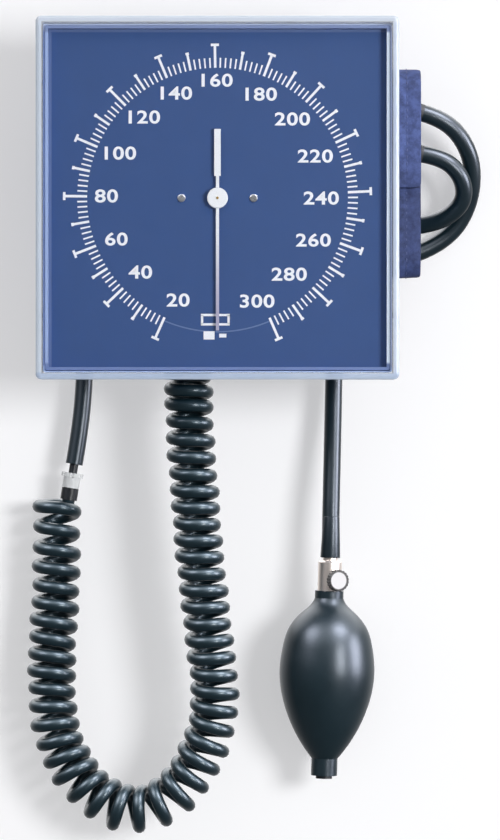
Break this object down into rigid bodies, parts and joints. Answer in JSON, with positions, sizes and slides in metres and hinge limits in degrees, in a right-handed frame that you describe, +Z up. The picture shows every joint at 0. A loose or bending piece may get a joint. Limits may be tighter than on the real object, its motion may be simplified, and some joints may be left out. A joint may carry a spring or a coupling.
{
  "type": "wall-mounted sphygmomanometer",
  "caption": "Square aneroid blood-pressure gauge on a wall bracket with a cuff basket, folded cuff, plain and curly hoses, and a squeeze bulb with a release valve.",
  "frame": {"origin": "the wall's surface at the middle of the four wall screws, behind the dial's centre", "axes": "+Y goes into the wall, +Z is up, and +X is to the right for someone who reads the dial"},
  "size_m": [0.2197, 0.0774, 0.3889],
  "materials": {
    "clear_acrylic": "clear polished acrylic",
    "navy_plastic": "fine satin moulded plastic",
    "basket_plastic": "fine satin moulded plastic",
    "dial_blue": "flat enamel with white print",
    "spacer_blue": "satin moulded plastic",
    "pointer_white": "white enamel",
    "plate_steel": "dark powder coat",
    "steel": "bright turned steel",
    "brass": "milled brass",
    "bronze_foil": "thin pressed bronze",
    "chrome": "polished chrome plate",
    "cuff_cloth": "coated nylon weave",
    "hook_pile": "hook tape",
    "black_rubber": "smooth satin rubber",
    "coil_vinyl": "glossy coiled tube",
    "bulb_rubber": "satin moulded rubber",
    "bladder_rubber": "matt sheet rubber",
    "black_nylon": "moulded nylon",
    "clear_plastic": "clear moulded plastic",
    "white_plastic": "moulded white plastic",
    "seal_rubber": "soft seal rubber"
  },
  "bodies": {
    "root": {"wall_plate": "plate_steel", "cuff_basket": "basket_plastic", "basket_lock_screw": "steel", "cuff_sleeve": "cuff_cloth", "cuff_bladder": "bladder_rubber", "cuff_hook_strip": "hook_pile", "clear_cover": "clear_acrylic", "cover_screws": "steel", "case_tray": "navy_plastic", "case_screws": "steel", "dial_plate": "dial_blue", "dial_frame": "spacer_blue", "dial_screws": "steel", "dial_standoffs": "brass", "rocker_brackets": "brass", "movement_front_plate": "brass", "movement_rear_plate": "brass", "movement_pillars": "brass", "movement_posts": "brass", "movement_screws": "steel", "capsule_front": "bronze_foil", "capsule_rear": "bronze_foil", "inlet_manifold": "brass", "inlet_barb": "chrome", "barb_nut": "chrome", "bulb_hose": "black_rubber", "cuff_hose": "black_rubber", "coil_hose": "coil_vinyl", "coil_leads": "coil_vinyl", "hose_tip": "black_nylon", "coil_end_fitting": "black_nylon", "valve_body": "chrome", "outlet_check_ring": "brass", "bulb": "bulb_rubber", "intake_valve": "black_nylon", "intake_ring": "brass"},
    "sector": {"sector_gear": "brass", "sector_pin": "steel", "sector_arbor": "steel"},
    "pointer": {"pointer": "pointer_white", "pointer_arbor": "steel", "pointer_pinion": "brass", "hairspring": "bronze_foil"},
    "rocker": {"rocking_shaft": "steel", "lift_lever": "brass", "drive_lever": "brass"},
    "push_pin": {"push_pin": "steel"},
    "stem_ring": {"stem_ring": "seal_rubber"},
    "thumb_screw": {"thumb_screw": "white_plastic"},
    "outlet_disc": {"outlet_check_disc": "seal_rubber"},
    "intake_disc": {"intake_disc": "seal_rubber"},
    "luer_collar": {"luer_collar": "clear_plastic"}
  },
  "joints": [
    {"name": "sector_turn", "type": "hinge", "parent": "root", "child": "sector", "pos_m": [0, -0.0624, -0.02753], "axis": [0, -1, 0], "range_deg": [0, 33.75], "stiffness_Nm_per_rad": 0.003},
    {"name": "pointer_turn", "type": "hinge", "parent": "root", "child": "pointer", "pos_m": [0, -0.0624, 0], "axis": [0, 1, 0], "range_deg": [0, 338], "deforming": ["hairspring"]},
    {"name": "rocker_turn", "type": "hinge", "parent": "root", "child": "rocker", "pos_m": [0, -0.0552, -0.02753], "axis": [1, 0, 0], "range_deg": [0, 22.5]},
    {"name": "push_pin_slide", "type": "slide", "parent": "root", "child": "push_pin", "axis": [0, -1, 0], "range_m": [0, 0.00199], "deforming": ["capsule_front"]},
    {"name": "release_screw_travel", "type": "slide", "parent": "root", "child": "stem_ring", "axis": [0.4066, -0.9135, -0.0117], "range_m": [0, 0.00141]},
    {"name": "release_screw_turn", "type": "hinge", "parent": "stem_ring", "child": "thumb_screw", "pos_m": [0.05369, -0.0242, -0.1816], "axis": [0.4066, -0.9135, -0.0117], "range_deg": [0, 720]},
    {"name": "outlet_disc_lift", "type": "slide", "parent": "root", "child": "outlet_disc", "axis": [0.0288, 0, 0.9996], "range_m": [0, 0.0006]},
    {"name": "intake_disc_lift", "type": "slide", "parent": "root", "child": "intake_disc", "axis": [0.0288, 0, 0.9996], "range_m": [0, 0.0006]},
    {"name": "collar_turn", "type": "hinge", "parent": "root", "child": "luer_collar", "pos_m": [-0.0699, -0.0136, -0.126], "axis": [0.1564, 0, 0.9877], "range_deg": [0, 120]}
  ],
  "couplings": [
    {"joint": "pointer_turn", "follows": "sector_turn", "ratio": 10},
    {"joint": "rocker_turn", "follows": "sector_turn", "ratio": 0.6666},
    {"joint": "push_pin_slide", "follows": "sector_turn", "m_per_rad": 0.00337},
    {"joint": "release_screw_travel", "follows": "release_screw_turn", "m_per_rad": 0.00011141}
  ]
}
